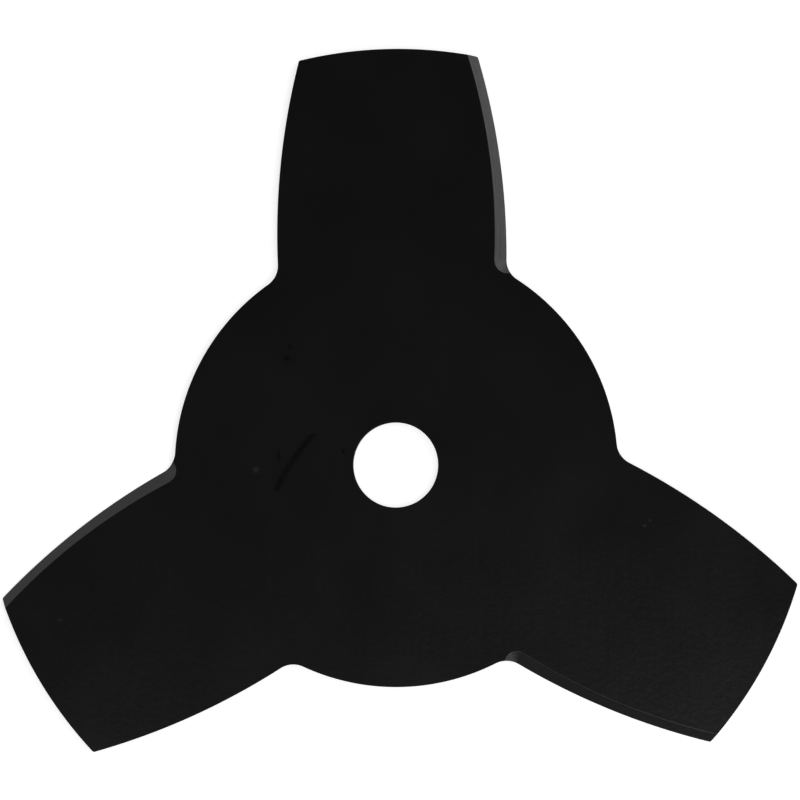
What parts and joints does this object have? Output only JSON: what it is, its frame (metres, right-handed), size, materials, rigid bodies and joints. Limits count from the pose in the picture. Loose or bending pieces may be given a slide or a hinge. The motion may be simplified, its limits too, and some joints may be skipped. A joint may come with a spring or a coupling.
{
  "type": "brush cutter blade",
  "caption": "Flat steel brush cutter blade, painted black: a round hub with a central bore and wide radial teeth, each ground to a bevel along its long edges.",
  "frame": {"origin": "centre of the bore on the underside of the plate", "axes": "+Z along the bore axis, out of the face that the picture shows; +Y along the tooth that points up in the picture"},
  "size_m": [0.2382, 0.2092, 0.002],
  "materials": {
    "black_paint": "thin satin black paint over the steel plate and its ground bevels"
  },
  "bodies": {
    "root": {"blade": "black_paint"}
  },
  "joints": []
}
